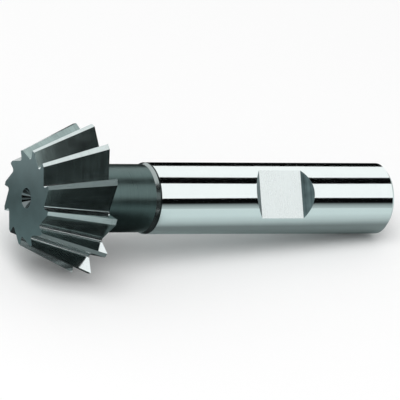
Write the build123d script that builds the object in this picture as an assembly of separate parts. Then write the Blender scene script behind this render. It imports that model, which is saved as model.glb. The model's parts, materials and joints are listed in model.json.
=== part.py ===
from build123d import *
from build123d.topology import SkipClean
from math import atan2, cos, degrees, radians, sin, tan
import os

# Single-angle milling cutter with a plain cylindrical shank, ground from one piece
# of tool steel. Millimetres. The tool is built along X, with its small front face at
# x = 0 and its shank end at x = overall_length, and is then laid down as it rests.

# Blank
overall_length = 67.5
head_length = 10.4
front_radius = 8.1
rear_radius = 12.8
neck_radius = 5.7
shank_radius = 6.0
shank_start = 22.0
lead_length = 0.6
end_chamfer = 0.6
neck_root_radius = 1.0

# Teeth
tooth_count = 12
land_angle = 4.8
clearance_angle = 8.0
front_gullet_radius = 6.4
rear_gullet_radius = 9.6
gullet_root_radius = 0.45
first_tip_angle = 15.0

# Flat that the holder's clamping screw presses on, with sloping end walls
flat_length = 8.0
flat_height = 4.4
flat_centre = 46.0
flat_wall_angle = 45.0
flat_direction = 39.3

# Centre hole in each end, on which the tool is held for grinding
centre_mouth_radius = 1.675
centre_pilot_radius = 0.8
centre_cone_angle = 60.0
centre_pilot_depth = 3.6
drill_point_angle = 118.0


def polar(radius, angle):
    """A point of a section across the tool: the angle runs from -Y up to +Z."""
    return (-radius * cos(radians(angle)), radius * sin(radians(angle)))


def land_end_radius(tip_radius):
    """Radius of the back edge of a land, which clears the work behind the cutting edge."""
    land_width = 2.0 * tip_radius * sin(radians(land_angle / 2.0))
    return tip_radius - land_width * tan(radians(clearance_angle))


def tooth_section(tip_radius, gullet_radius):
    """Outline of all the teeth at one place along the head.

    Each tooth has a radial rake face, a narrow land that falls away behind its
    cutting edge, and a sloping back that runs down to the root of the next gullet.
    """
    pitch = 360.0 / tooth_count
    points = []
    corner_radii = []
    for tooth in range(tooth_count):
        tip_angle = first_tip_angle - tooth * pitch
        points.append(polar(tip_radius, tip_angle))
        points.append(polar(land_end_radius(tip_radius), tip_angle - land_angle))
        points.append(polar(gullet_radius, tip_angle - pitch))
        corner_radii += [0.0, 0.0, gullet_root_radius]
    return make_face(FilletPolyline(points, radius=corner_radii, close=True))


def toothed_head():
    """Cone with straight teeth, lofted between its two end sections."""
    front = Plane.YZ * tooth_section(front_radius, front_gullet_radius)
    rear = Plane.YZ.offset(head_length) * tooth_section(rear_radius, rear_gullet_radius)
    return loft([front, rear], ruled=True)


def turned_body():
    """Neck and shank as far as the flat, with a hollow root where the neck meets the head."""
    inside_head = head_length / 2.0
    collar_radius = neck_radius + 1.5 * neck_root_radius
    outline = [
        (inside_head, 0.0),
        (inside_head, collar_radius),
        (head_length, collar_radius),
        (head_length, neck_radius),
        (shank_start - lead_length, neck_radius),
        (shank_start, shank_radius),
        (flat_centre, shank_radius),
        (flat_centre, 0.0),
    ]
    corner_radii = [0.0] * len(outline)
    corner_radii[outline.index((head_length, neck_radius))] = neck_root_radius
    profile = FilletPolyline(outline, radius=corner_radii, close=True)
    return revolve(make_face(profile), Axis.X, 360)


def clamping_end():
    """The rest of the shank, from the middle of the flat to the chamfered end."""
    profile = Polyline(
        (flat_centre, 0.0),
        (flat_centre, shank_radius),
        (overall_length - end_chamfer, shank_radius),
        (overall_length, shank_radius - end_chamfer),
        (overall_length, 0.0),
        close=True,
    )
    return revolve(make_face(profile), Axis.X, 360)


def centre_hole(end_x, inward):
    """Pilot drilling with a 60-degree mouth; inward is +1 or -1 along X."""
    cone_depth = (centre_mouth_radius - centre_pilot_radius) / tan(radians(centre_cone_angle / 2.0))
    point_depth = centre_pilot_radius / tan(radians(drill_point_angle / 2.0))
    outside = 0.5
    flare = outside * tan(radians(centre_cone_angle / 2.0))
    profile = Polyline(
        (end_x - inward * outside, 0),
        (end_x - inward * outside, centre_mouth_radius + flare),
        (end_x + inward * cone_depth, centre_pilot_radius),
        (end_x + inward * centre_pilot_depth, centre_pilot_radius),
        (end_x + inward * (centre_pilot_depth + point_depth), 0),
        close=True,
    )
    return revolve(make_face(profile), Axis.X, 360)


def clamping_flat():
    """Milling that leaves the flat: a trough across the shank with sloping ends."""
    reach = shank_radius + 2.0
    rise = reach - flat_height
    half_floor = flat_length / 2.0
    half_top = half_floor + rise * tan(radians(flat_wall_angle))
    trough = Polyline(
        (flat_centre - half_floor, flat_height),
        (flat_centre + half_floor, flat_height),
        (flat_centre + half_top, reach),
        (flat_centre - half_top, reach),
        close=True,
    )
    cut = extrude(Plane.XZ * make_face(trough), amount=reach, both=True)
    return cut.rotate(Axis.X, 90.0 - flat_direction)


def resting_place(tool):
    """Where the tool lies: on two teeth and the lower edge of its shank end.

    Of the two teeth, one touches with its cutting corner and the other with the back
    edge of its land, so the tool rolls a little to seat both. The origin is under the
    middle of the tool, on the surface that it lies on.
    """
    tip_side = radians(180.0 / tooth_count)
    land_side = tip_side - radians(land_angle)
    heel_radius = land_end_radius(rear_radius)
    roll = atan2(
        heel_radius * cos(land_side) - rear_radius * cos(tip_side),
        heel_radius * sin(land_side) + rear_radius * sin(tip_side),
    )
    tooth_drop = rear_radius * cos(tip_side - roll)
    contact_x = overall_length - end_chamfer
    tilt = atan2(tooth_drop - shank_radius, contact_x - head_length)
    rolling = Location((0, 0, 0), (-degrees(roll), 0, 0))
    tilting = Location((0, 0, 0), (0, degrees(tilt), 0))
    box = tool.moved(tilting * rolling).bounding_box()
    middle = box.center()
    return Location((-middle.X, -middle.Y, -box.min.Z)) * tilting * rolling


# The shank's round wall stays in two lengths that meet at the flat. The holder grips it
# on both, and the middle of each is on the full round.
cutter = toothed_head() + turned_body()
with SkipClean():
    cutter += clamping_end()
    cutter -= centre_hole(0.0, 1)
    cutter -= centre_hole(overall_length, -1)
    cutter -= clamping_flat()
place = resting_place(cutter)

os.makedirs("parts", exist_ok=True)
export_step(cutter.moved(place), "parts/angle_cutter.step")
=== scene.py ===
import json
from math import acos, cos, pi, radians, sin, tan

import bpy
from mathutils import Matrix, Vector
from mathutils.geometry import tessellate_polygon


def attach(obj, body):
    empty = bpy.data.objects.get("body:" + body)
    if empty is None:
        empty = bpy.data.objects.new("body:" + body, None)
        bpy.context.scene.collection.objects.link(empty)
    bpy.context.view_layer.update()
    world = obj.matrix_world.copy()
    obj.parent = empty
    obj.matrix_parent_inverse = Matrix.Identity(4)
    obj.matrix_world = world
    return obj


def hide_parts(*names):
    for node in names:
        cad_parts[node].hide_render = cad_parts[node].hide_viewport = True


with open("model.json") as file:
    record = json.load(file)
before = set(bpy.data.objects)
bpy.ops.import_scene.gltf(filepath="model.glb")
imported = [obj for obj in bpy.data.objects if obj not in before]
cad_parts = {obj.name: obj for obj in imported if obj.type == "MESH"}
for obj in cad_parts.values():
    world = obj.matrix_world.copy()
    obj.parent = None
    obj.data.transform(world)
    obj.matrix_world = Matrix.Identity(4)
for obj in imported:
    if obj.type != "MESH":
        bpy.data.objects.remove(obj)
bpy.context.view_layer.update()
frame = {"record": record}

# How the cutter lies. It is one piece of tool steel, resting on two teeth and the edge
# of its shank end. Its axis runs from the middle of the front face to the middle of the
# shank end, and its clamping flat says how far round it is turned.
mounts = {mount["name"]: mount for mount in frame["record"]["mounts"]}
front_middle = Vector(mounts["front_centre"]["pos_m"])
end_middle = Vector(mounts["shank_centre"]["pos_m"])
overall_length = (end_middle - front_middle).length
flat_direction = radians(39.3)

along = (end_middle - front_middle).normalized()
flat_normal = Vector(mounts["clamping_flat"]["axis"]).normalized()
round_from_flat = flat_normal.cross(along)
across = sin(flat_direction) * round_from_flat - cos(flat_direction) * flat_normal
upward = cos(flat_direction) * round_from_flat + sin(flat_direction) * flat_normal
tool_place = Matrix((along, across, upward)).transposed().to_4x4()
tool_place.translation = front_middle

# The camera stands a long way off, in front of the tool and above it. It is turned from
# square-on towards the front face, and round the tool's axis until it nearly faces the
# clamping flat, with the axis level in the picture.
view_turn = radians(29.09)
view_round = radians(30.76)
view_distance = 0.9244
aim_along = 0.02864
aim_up = -0.0003
lens_length = 504.7
nearest_seen = 0.01
farthest_seen = 20.0


def round_direction(angle):
    """Direction across the tool, in its own frame: the angle runs from -y up to +z."""
    return Vector((0.0, -cos(angle), sin(angle)))


towards_viewer = round_direction(view_round)
view_up = round_direction(view_round + pi / 2.0)
view_right = Vector((cos(view_turn), 0.0, 0.0)) + sin(view_turn) * towards_viewer
view_back = cos(view_turn) * towards_viewer - Vector((sin(view_turn), 0.0, 0.0))
view_place = Matrix((view_right, view_up, view_back)).transposed().to_4x4()
view_place.translation = aim_along * view_right + aim_up * view_up + view_distance * view_back

camera_data = bpy.data.cameras.new("camera")
camera_data.lens = lens_length
camera_data.clip_start = nearest_seen
camera_data.clip_end = farthest_seen
camera = bpy.data.objects.new("camera", camera_data)
camera.matrix_world = tool_place @ view_place
bpy.context.scene.collection.objects.link(camera)
bpy.context.scene.camera = camera
bpy.context.scene.view_settings.view_transform = "Standard"

# The toothed head is a cone with its small end at the front. Twelve straight gullets
# are milled along it and stay black from hardening; the narrow lands and the rake
# faces, with the root beside them, are then ground bright.
tooth_count = 12
first_tip = radians(15.0)
land_angle = radians(4.8)
clearance_angle = radians(8.0)
head_length = 0.0104
front_tip_radius = 0.0081
rear_tip_radius = 0.0128
front_gullet_radius = 0.0064
rear_gullet_radius = 0.0096
gullet_root_radius = 0.00045
land_steps = 2
back_steps = 5
root_steps = 16
rake_steps = 4
head_steps = 40

line_stretch = 60.0
line_detail = 3.0
cloud_scale = 450.0
cloud_detail = 4.0
noise_low = 0.6
noise_high = 1.4
finishes = []


def steel_finish(name, colour, roughness, streak, streak_depth, colour_change, gloss_change,
                 grain=0.0, rings=False, lengthwise=False):
    """A finish on tool steel, with the fine lines that grinding, milling or turning leave.

    The lines are streaked noise in the tool's own frame, on colour, gloss and relief.
    streak is how many there are to a metre, and each is line_stretch times as long as it
    is wide. They run round the tool, in rings on a flat end face, or lengthwise.
    colour_change and gloss_change are shares.
    """
    material = bpy.data.materials.new(name)
    material.use_nodes = True
    nodes = material.node_tree.nodes
    link = material.node_tree.links.new
    steel = nodes["Principled BSDF"]
    steel.inputs["Base Color"].default_value = (*colour, 1.0)
    steel.inputs["Metallic"].default_value = 1.0
    steel.inputs["Roughness"].default_value = roughness
    steel.inputs["Anisotropic"].default_value = grain
    steel.inputs["Anisotropic Rotation"].default_value = 0.25

    def vector_step(operation, vector, other=None):
        """One step of vector arithmetic."""
        step = nodes.new("ShaderNodeVectorMath")
        step.operation = operation
        link(vector, step.inputs[0])
        if other is not None:
            step.inputs[1].default_value = other
        return step.outputs

    def noise(vector, scale, detail):
        """Noise at this scale along the vector."""
        texture = nodes.new("ShaderNodeTexNoise")
        texture.inputs["Scale"].default_value = scale
        texture.inputs["Detail"].default_value = detail
        link(vector, texture.inputs["Vector"])
        return texture.outputs["Fac"]

    shown = nodes.new("ShaderNodeTexCoord")
    place = nodes.new("ShaderNodeMapping")
    place.vector_type = "TEXTURE"
    place.inputs["Location"].default_value = tool_place.translation
    place.inputs["Rotation"].default_value = tool_place.to_euler()
    link(shown.outputs["Object"], place.inputs["Vector"])
    across_lines = place.outputs["Vector"]
    if rings:
        flattened = vector_step("MULTIPLY", place.outputs["Vector"], (0.0, 1.0, 1.0))
        ringed = nodes.new("ShaderNodeCombineXYZ")
        link(vector_step("LENGTH", flattened["Vector"])["Value"], ringed.inputs["X"])
        across_lines = ringed.outputs["Vector"]
    stretch = (streak, streak / line_stretch, streak / line_stretch)
    if lengthwise:
        stretch = (streak / line_stretch, streak, streak)
    lines = noise(vector_step("MULTIPLY", across_lines, stretch)["Vector"], 1.0, line_detail)
    cloud = noise(place.outputs["Vector"], cloud_scale, cloud_detail)
    mixed = nodes.new("ShaderNodeMath")
    mixed.operation = "ADD"
    link(lines, mixed.inputs[0])
    link(cloud, mixed.inputs[1])

    def from_noise(middle, change):
        """The noise as a value round this middle, by this share up and down."""
        ranged = nodes.new("ShaderNodeMapRange")
        ranged.inputs["From Min"].default_value = noise_low
        ranged.inputs["From Max"].default_value = noise_high
        ranged.inputs["To Min"].default_value = middle * (1.0 - change)
        ranged.inputs["To Max"].default_value = middle * (1.0 + change)
        link(mixed.outputs["Value"], ranged.inputs["Value"])
        return ranged.outputs["Result"]

    toned = nodes.new("ShaderNodeVectorMath")
    toned.operation = "SCALE"
    toned.inputs[0].default_value = colour
    link(from_noise(1.0, colour_change), toned.inputs["Scale"])
    link(toned.outputs["Vector"], steel.inputs["Base Color"])
    link(from_noise(roughness, gloss_change), steel.inputs["Roughness"])

    relief = nodes.new("ShaderNodeBump")
    relief.inputs["Strength"].default_value = 1.0
    relief.inputs["Distance"].default_value = streak_depth
    link(lines, relief.inputs["Height"])
    link(relief.outputs["Normal"], steel.inputs["Normal"])
    if grain:
        surface = nodes.new("ShaderNodeNewGeometry")
        lay = nodes.new("ShaderNodeVectorMath")
        lay.operation = "CROSS_PRODUCT"
        lay.inputs[0].default_value = along
        link(surface.outputs["Normal"], lay.inputs[1])
        link(lay.outputs["Vector"], steel.inputs["Tangent"])
    finishes.append(material)
    return len(finishes) - 1


milled_black = steel_finish("milled_black", (0.30, 0.385, 0.375), 0.19, 6000.0, 4e-7, 0.22, 0.2)
ground_land = steel_finish("ground_land", (0.66, 0.74, 0.735), 0.20, 14000.0, 2e-7, 0.10, 0.2)
ground_rake = steel_finish("ground_rake", (0.80, 0.87, 0.87), 0.12, 14000.0, 1e-7, 0.05, 0.2,
                           lengthwise=True)

# The whole tool is one mesh, collected in its own frame. Each face keeps its finish.
points = []
faces = []
face_finishes = []


def add_ring(ring):
    """Store a row of points and give back their numbers."""
    first = len(points)
    points.extend(ring)
    return list(range(first, first + len(ring)))


def add_face(corners, finish):
    """Store a face, leaving out corners that fall on each other."""
    kept = [c for i, c in enumerate(corners) if c != corners[i - 1]]
    if len(kept) > 2:
        faces.append(kept)
        face_finishes.append(finish)


def spread(start, end, steps):
    """Points from start to just before end, evenly spaced."""
    return [start.lerp(end, i / steps) for i in range(steps)]


def root_arc(back_point, corner, rake_point):
    """The rounded root of a gullet between its back and the next rake face."""
    to_back = (back_point - corner).normalized()
    to_rake = (rake_point - corner).normalized()
    half_opening = acos(to_back.dot(to_rake)) / 2.0
    middle = corner + (to_back + to_rake).normalized() * gullet_root_radius / sin(half_opening)
    reach = gullet_root_radius / tan(half_opening)
    start = corner + to_back * reach - middle
    end = corner + to_rake * reach - middle
    turn = acos(start.normalized().dot(end.normalized()))
    arc = []
    for i in range(root_steps + 1):
        share = i / root_steps
        arc.append(middle + (start * sin((1.0 - share) * turn) + end * sin(share * turn)) / sin(turn))
    return arc


def tooth_outline(x, tip_radius, gullet_radius):
    """All the teeth at one place along the head, with the finish of each step round."""
    heel_radius = tip_radius - 2.0 * tip_radius * sin(land_angle / 2.0) * tan(clearance_angle)
    pitch = 2.0 * pi / tooth_count
    outline = []
    surfaces = []
    for tooth in range(tooth_count):
        tip = first_tip - tooth * pitch
        cutting_edge = round_direction(tip) * tip_radius
        heel = round_direction(tip - land_angle) * heel_radius
        root = round_direction(tip - pitch) * gullet_radius
        next_edge = round_direction(tip - pitch) * tip_radius
        arc = root_arc(heel, root, next_edge)
        outline += spread(cutting_edge, heel, land_steps) + spread(heel, arc[0], back_steps)
        outline += arc[:-1] + spread(arc[-1], next_edge, rake_steps)
        surfaces += [ground_land] * land_steps + [milled_black] * back_steps
        surfaces += [ground_rake] * (root_steps + rake_steps)
    return [Vector((x, p.y, p.z)) for p in outline], surfaces


head_rows = []
front_outline, surfaces = tooth_outline(0.0, front_tip_radius, front_gullet_radius)
rear_outline, surfaces = tooth_outline(head_length, rear_tip_radius, rear_gullet_radius)
for step in range(head_steps + 1):
    share = step / head_steps
    head_rows.append(add_ring([p.lerp(q, share) for p, q in zip(front_outline, rear_outline)]))
for row, next_row in zip(head_rows, head_rows[1:]):
    for i, finish in enumerate(surfaces):
        j = (i + 1) % len(surfaces)
        add_face((row[i], row[j], next_row[j], next_row[i]), finish)

# The neck is turned from the same steel as the head and stays dark from hardening. It
# leaves the head with a hollow root, so that it doesn't crack there, and ends in a short
# lead that rises to the shank and is ground with it.
turned_black = steel_finish("turned_black", (0.12, 0.175, 0.17), 0.31, 9000.0, 3e-7, 0.15, 0.15)
ground_lead = steel_finish("ground_lead", (0.36, 0.41, 0.405), 0.20, 24000.0, 4e-8, 0.05, 0.10)

neck_radius = 0.0057
neck_root_radius = 0.001
shank_radius = mounts["shank"]["dims"]["r_mm"] / 1000.0
shank_start = 0.022
lead_length = 0.0006
round_steps = 300
neck_root_steps = 8


def turned_row(x, radius, opening=0.0):
    """Points round the tool; opening is half the angle that the clamping flat takes out."""
    turns = [opening + (2.0 * pi - 2.0 * opening) * i / round_steps for i in range(round_steps + 1)]
    ring = [round_direction(flat_direction + turn) * radius + Vector((x, 0.0, 0.0)) for turn in turns]
    if opening:
        return add_ring(ring)
    row = add_ring(ring[:-1])
    return row + row[:1]


def join_rows(row, next_row, finish, closed=False):
    """Fill the strip between two rows of like points."""
    last = len(row) if closed else len(row) - 1
    for i in range(last):
        j = (i + 1) % len(row)
        add_face((row[i], next_row[i], next_row[j], row[j]), finish)


neck_outline = []
for step in range(neck_root_steps + 1):
    turn = pi / 2.0 * step / neck_root_steps
    neck_outline.append((head_length + neck_root_radius * (1.0 - cos(turn)),
                         neck_radius + neck_root_radius * (1.0 - sin(turn))))
neck_outline.append((shank_start - lead_length, neck_radius))
neck_rows = [turned_row(x, radius) for x, radius in neck_outline]
shank_edge = turned_row(shank_start, shank_radius)
for row, next_row in zip(neck_rows, neck_rows[1:]):
    join_rows(row, next_row, turned_black)
join_rows(neck_rows[-1], shank_edge, ground_lead)

# The shank is ground to 12 mm, with a chamfer at its end. Where it meets the lead, a thin
# near-black band is painted shade, for the dark line that shade makes at that step. A
# clamping flat is milled across it, with end walls that slope at 45 degrees. The screw of
# the holder presses on the floor of the flat.
painted_shade_band = steel_finish("painted_shade_band", (0.035, 0.045, 0.045), 0.30, 9000.0, 3e-7, 0.10, 0.10)
ground_shank = steel_finish("ground_shank", (0.86, 0.93, 0.925), 0.09, 24000.0, 4e-8, 0.02, 0.10,
                            grain=0.9)
milled_flat = steel_finish("milled_flat", (0.84, 0.905, 0.90), 0.28, 9000.0, 8e-7, 0.08, 0.15)
flat_wall = steel_finish("flat_wall", (0.11, 0.16, 0.165), 0.40, 5000.0, 4e-6, 0.60, 0.15)

shade_band_length = 0.0003
end_chamfer = 0.0006
flat_height = 0.0044
flat_length = 0.008
flat_middle = tool_place.inverted() @ Vector(mounts["clamping_flat"]["pos_m"])
half_flat = flat_length / 2.0
floor_opening = acos(flat_height / shank_radius)
wall_steps = 14
floor_steps = 12
chord_steps = 24


def chord_row(row):
    """Points across the flat, between the two ends of an open row round the tool."""
    start, end = points[row[0]], points[row[-1]]
    inner = add_ring([start.lerp(end, i / chord_steps) for i in range(1, chord_steps)])
    return [row[0]] + inner + [row[-1]]


def wall_reach(opening):
    """How far from the middle of the flat its end wall is, where the flat is this open."""
    return half_flat + shank_radius * cos(opening) - flat_height


wall_openings = [floor_opening * step / wall_steps for step in range(wall_steps + 1)]
shank_outline = [(flat_middle.x - wall_reach(opening), opening) for opening in wall_openings]
for step in range(1, floor_steps):
    shank_outline.append((flat_middle.x - half_flat + flat_length * step / floor_steps, floor_opening))
for opening in reversed(wall_openings):
    shank_outline.append((flat_middle.x + wall_reach(opening), opening))
shank_outline.append((overall_length - end_chamfer, 0.0))

# First the thin band of painted shade next to the lead, then the ground shank.
last_row = turned_row(shank_start + shade_band_length, shank_radius)
join_rows(shank_edge, last_row, painted_shade_band)
last_chord = None
for x, opening in shank_outline:
    row = turned_row(x, shank_radius, opening)
    join_rows(last_row, row, ground_shank)
    chord = chord_row(row) if opening else [row[0]] * (chord_steps + 1)
    if last_chord and (opening or last_row[0] != last_row[-1]):
        on_floor = abs((x + points[last_row[0]].x) / 2.0 - flat_middle.x) < half_flat
        join_rows(chord, last_chord, milled_flat if on_floor else flat_wall)
    last_row, last_chord = row, chord
chamfer_row = turned_row(overall_length, shank_radius - end_chamfer)
join_rows(last_row, chamfer_row, ground_shank)

# Both ends are turned flat, and the front one stays dark from hardening. Each has a
# centre hole, a drilled pilot with a 60-degree mouth, which holds the tool for grinding.
turned_end = steel_finish("turned_end", (0.55, 0.62, 0.62), 0.28, 9000.0, 8e-7, 0.12, 0.15, rings=True)
turned_front = steel_finish("turned_front", (0.12, 0.18, 0.185), 0.36, 7000.0, 6e-7, 0.15, 0.15,
                            rings=True)
centre_cone = steel_finish("centre_cone", (0.18, 0.21, 0.215), 0.10, 9000.0, 3e-7, 0.1, 0.15)

mouth_radius = 0.001675
mouth_angle = radians(60.0)
pilot_radius = 0.0008
pilot_depth = 0.0036
drill_point_angle = radians(118.0)
cone_depth = (mouth_radius - pilot_radius) / tan(mouth_angle / 2.0)
point_depth = pilot_radius / tan(drill_point_angle / 2.0)


def centre_hole(mouth, mouth_x, inward):
    """Mouth, pilot and drill point inside a ring that is already there."""
    rings = [(cone_depth, pilot_radius, centre_cone), (pilot_depth, pilot_radius, milled_black),
             (pilot_depth + point_depth, 0.0, milled_black)]
    row = mouth
    for depth, radius, finish in rings:
        x = mouth_x + inward * depth
        if radius:
            next_row = turned_row(x, radius)[:-1]
        else:
            next_row = add_ring([Vector((x, 0.0, 0.0))]) * len(row)
        if inward > 0:
            join_rows(next_row, row, finish, closed=True)
        else:
            join_rows(row, next_row, finish, closed=True)
        row = next_row


def fill_end_face(outer, inner, finish, facing_back):
    """Fill the flat face between an outline and a round edge, both across the tool."""
    outlines = [[points[n].yz.to_3d() for n in outer], [points[n].yz.to_3d() for n in inner]]
    numbers = outer + inner
    for a, b, c in tessellate_polygon(outlines):
        corners = (numbers[a], numbers[b], numbers[c])
        side = (points[corners[1]] - points[corners[0]]).cross(points[corners[2]] - points[corners[0]])
        if (side.x > 0.0) != facing_back:
            corners = corners[::-1]
        add_face(corners, finish)


end_mouth = turned_row(overall_length, mouth_radius)
join_rows(chamfer_row, end_mouth, turned_end)
centre_hole(end_mouth[:-1], overall_length, -1)
front_mouth = turned_row(0.0, mouth_radius)
centre_hole(front_mouth[:-1], 0.0, 1)
fill_end_face(head_rows[0], front_mouth[:-1], turned_front, facing_back=False)
fill_end_face(head_rows[-1], neck_rows[0][:-1], turned_black, facing_back=True)

# Head, neck, shank and ends are ground from one blank, so all their faces become one
# closed body. It stands for the solid tool, and edges over the crease angle stay sharp.
crease_angle = radians(18.0)
tool_mesh = bpy.data.meshes.new("angle_cutter_steel")
tool_mesh.from_pydata([tool_place @ point for point in points], [], faces)
for material in finishes:
    tool_mesh.materials.append(material)
tool_mesh.polygons.foreach_set("material_index", face_finishes)
tool_mesh.polygons.foreach_set("use_smooth", [True] * len(faces))
tool_mesh.set_sharp_from_angle(angle=crease_angle)
tool_mesh.validate()
tool = bpy.data.objects.new("angle_cutter_steel", tool_mesh)
bpy.context.scene.collection.objects.link(tool)
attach(tool, "root")
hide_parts("angle_cutter")

# The tool lies on a plain pale floor. It is matt, so it shows the tool's soft shadow and
# mirrors nothing.
half_floor_size = 1.5
floor_corners = [(-1, -1), (1, -1), (1, 1), (-1, 1)]
floor_mesh = bpy.data.meshes.new("floor")
floor_mesh.from_pydata([(x * half_floor_size, y * half_floor_size, 0.0) for x, y in floor_corners],
                       [], [(0, 1, 2, 3)])
floor_paint = bpy.data.materials.new("floor_paint")
floor_paint.use_nodes = True
matt_paint = floor_paint.node_tree.nodes["Principled BSDF"]
matt_paint.inputs["Base Color"].default_value = (0.97, 0.97, 0.97, 1.0)
matt_paint.inputs["Roughness"].default_value = 0.9
matt_paint.inputs["Specular IOR Level"].default_value = 0.0
floor_mesh.materials.append(floor_paint)
floor = bpy.data.objects.new("floor", floor_mesh)
bpy.context.scene.collection.objects.link(floor)

# The surround is plain white where the camera or the steel sees it, and gives less light
# than that. One broad soft lamp stands in front, overhead.
lighting_strength = 0.6
white_strength = 1.0
world = bpy.data.worlds.new("white_surround")
world.use_nodes = True
bpy.context.scene.world = world
world_nodes = world.node_tree.nodes
world_link = world.node_tree.links.new
sky = world_nodes["Background"]
sky.inputs["Color"].default_value = (1.0, 1.0, 1.0, 1.0)
ray = world_nodes.new("ShaderNodeLightPath")
seen = ray.outputs["Is Camera Ray"]
for ray_kind in ("Is Glossy Ray", "Is Transmission Ray"):
    either = world_nodes.new("ShaderNodeMath")
    either.operation = "MAXIMUM"
    world_link(seen, either.inputs[0])
    world_link(ray.outputs[ray_kind], either.inputs[1])
    seen = either.outputs["Value"]
level = world_nodes.new("ShaderNodeMapRange")
level.inputs["To Min"].default_value = lighting_strength
level.inputs["To Max"].default_value = white_strength
world_link(seen, level.inputs["Value"])
world_link(level.outputs["Result"], sky.inputs["Strength"])

lamp_data = bpy.data.lights.new("soft_lamp", "AREA")
lamp_data.shape = "SQUARE"
lamp_data.size = 0.9
lamp_data.energy = 8.0
lamp = bpy.data.objects.new("soft_lamp", lamp_data)
lamp.location = (-0.35, -0.35, 1.1)
lamp.rotation_euler = (-lamp.location).to_track_quat("-Z", "Y").to_euler()
lamp.visible_glossy = False
bpy.context.scene.collection.objects.link(lamp)

# Sheets of card stand round the tool, and mats of it lie just above the floor. They show
# only in reflections, and give the bright steel its dark bands and the blackened head its
# dark faces. Their greys are a little blue-green, as the steel is.
card_tint = 1.14
card_corners = ((0.0, 0.0), (1.0, 0.0), (1.0, 1.0), (0.0, 1.0))


def reflected_card(name, x_range, edges, tones, glowing=False, end_range=None):
    """A sheet along the tool between two long edges, given as (y, z).

    Both edges span x_range, unless the second has an end_range of its own. tones are
    greys from the first edge to the second, evenly spaced. A glowing sheet gives them off
    as painted light, whatever falls on it, and any other takes the light and shadow that
    fall on it.
    """
    (y_start, z_start), (y_end, z_end) = edges
    (x_low, x_high), (end_low, end_high) = x_range, end_range or x_range
    mesh = bpy.data.meshes.new(name)
    mesh.from_pydata([(x_low, y_start, z_start), (x_high, y_start, z_start),
                      (end_high, y_end, z_end), (end_low, y_end, z_end)], [], [(0, 1, 2, 3)])
    across_sheet = mesh.uv_layers.new(name="across")
    for corner, spot in zip(across_sheet.data, card_corners):
        corner.uv = spot
    material = bpy.data.materials.new(name)
    material.use_nodes = True
    nodes = material.node_tree.nodes
    link = material.node_tree.links.new
    sheet = nodes["Principled BSDF"]
    sheet.inputs["Specular IOR Level"].default_value = 0.0
    sheet.inputs["Roughness"].default_value = 1.0
    unrolled = nodes.new("ShaderNodeTexCoord")
    parts = nodes.new("ShaderNodeSeparateXYZ")
    link(unrolled.outputs["UV"], parts.inputs["Vector"])
    ramp = nodes.new("ShaderNodeValToRGB")
    link(parts.outputs["Y"], ramp.inputs["Fac"])
    steps = ramp.color_ramp.elements
    while len(steps) < len(tones):
        steps.new(1.0)
    for number, (step, tone) in enumerate(zip(steps, tones)):
        step.position = number / (len(tones) - 1)
        step.color = (tone, card_tint * tone, card_tint * tone, 1.0)
    # A glowing sheet gives off its greys as painted light, seen only in the steel.
    if glowing:
        sheet.inputs["Base Color"].default_value = (0.0, 0.0, 0.0, 1.0)
        sheet.inputs["Emission Strength"].default_value = 1.0
        link(ramp.outputs["Color"], sheet.inputs["Emission Color"])
    else:
        link(ramp.outputs["Color"], sheet.inputs["Base Color"])
    mesh.materials.append(material)
    card = bpy.data.objects.new(name, mesh)
    card.visible_camera = False
    card.visible_diffuse = False
    card.visible_shadow = False
    bpy.context.scene.collection.objects.link(card)


def reflected_mat(name, x_range, y_range, height, tones, end_range=None):
    """A sheet that lies level at this height, with its long edges at the ends of y_range."""
    reflected_card(name, x_range, [(y, height) for y in y_range], tones, end_range=end_range)


# For the shank, whose reflections all run on towards its own end.
shank_height = 0.0106
far_card = 0.6
behind_card = 0.57
front_card = -0.1
front_card_angle = radians(27.5)
beside_shank = (-0.005, 1.5)
beyond_shank = (0.12, 1.5)
past_both_ends = (-0.5, 1.5)
shank_mat_height = 0.0004
under_edge = -0.0285
rear_edge = 0.0075
behind_edge = 0.031
black = 0.002
front_tones = (0.48, 0.42, 0.36, 0.30, 0.24, 0.12) + (black,) * 7
# Under the shank the mat's greys dip to a dark stripe. It is painted shadow, added to the real shadow that
# falls on the mat, and shows in the lower side of the shank.
under_tones_painted_shadow = (0.60, 0.61, 0.60, 0.58, 0.54, 0.50, 0.40, 0.19, 0.23, 0.44, 0.55, 0.6, 0.6)
rear_tones = (0.6, 0.4, 0.2, 0.05)


def round_edge(distance, turn):
    """A place (y, z) at this distance from the shank: 0 is level in front, 90 overhead."""
    return (-distance * cos(radians(turn)), shank_height + distance * sin(radians(turn)))


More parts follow.
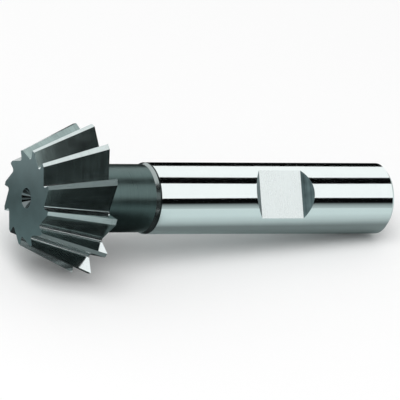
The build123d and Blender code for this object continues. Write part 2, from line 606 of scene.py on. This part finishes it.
front_top = (front_card, shank_height - front_card * tan(front_card_angle))
overhead_edges = (round_edge(far_card, 79.0), round_edge(far_card, 103.5))
behind_edges = (round_edge(far_card, 162.0), (behind_card, 0.0))
reflected_card("overhead_card", beyond_shank, overhead_edges, (black, black))
reflected_card("behind_card", beyond_shank, behind_edges, (black, black))
reflected_mat("behind_mat", beside_shank, (behind_card, behind_edge), shank_mat_height, (black, black))
reflected_card("front_card", beside_shank, ((front_card, 0.0), front_top), front_tones, glowing=True)
reflected_mat("front_mat", past_both_ends, (front_card, under_edge), shank_mat_height, (0.60, 0.60))
# The mat under the shank carries that stripe of painted shadow.
reflected_mat("under_mat", past_both_ends, (under_edge, rear_edge), shank_mat_height, under_tones_painted_shadow)
reflected_mat("rear_mat", past_both_ends, (rear_edge, behind_edge), shank_mat_height, rear_tones)

# For the head, whose faces look forward, up and down, and for the lead behind the neck.
head_card = -0.27
lowest_seam = 0.17
side_start = 0.23
ceiling = 0.32
grey_top = 0.36
lead_card_height = 0.361
head_mat_height = 0.0008
head_mat_edge = -0.052
tooth_mat_height = 0.0012
root_card = -0.265
side_range = (0.03, 0.14)
near_black = (0.01, 0.01)
mat_tones = (0.015, 0.02, 0.03, 0.06, 0.06)

front_edges = ((head_card, 0.0), (head_card, lowest_seam))
high_edges = ((head_card, lowest_seam), (head_card, ceiling))
grey_edges = ((head_card, lowest_seam), (head_card, grey_top))
reflected_card("head_card_front", (-0.30, 0.015), front_edges, (0.01, 0.04))
reflected_card("head_card_high", (-0.10, 0.0), high_edges, (0.04, 0.02))
reflected_mat("head_card_overhead", (-0.055, 0.11), (head_card, -0.004), ceiling, near_black)
reflected_card("head_card_side", side_range, ((head_card, side_start), (head_card, ceiling)), near_black)
reflected_mat("head_card_side_top", side_range, (head_card, -0.17), ceiling, near_black)
reflected_card("head_card_grey", (-0.30, -0.10), grey_edges, (0.28, 0.28), glowing=True)
reflected_mat("head_mat_far", (-0.13, 0.09), (head_card, head_mat_edge), head_mat_height, (0.02, 0.02),
              end_range=(-0.034, 0.010))
reflected_mat("head_mat", (-0.046, 0.010), (head_mat_edge, 0.004), head_mat_height, mat_tones,
              end_range=(-0.046, -0.0135))
reflected_mat("tooth_mat", (-0.042, -0.020), (-0.0155, -0.0105), tooth_mat_height, (0.21, 0.21))
reflected_mat("lead_card", (-0.30, -0.08), (head_card, -0.07), lead_card_height, near_black)
reflected_card("root_card", (-0.08, -0.043), ((root_card, 0.02), (root_card, 0.10)), (0.88, 0.88), glowing=True)
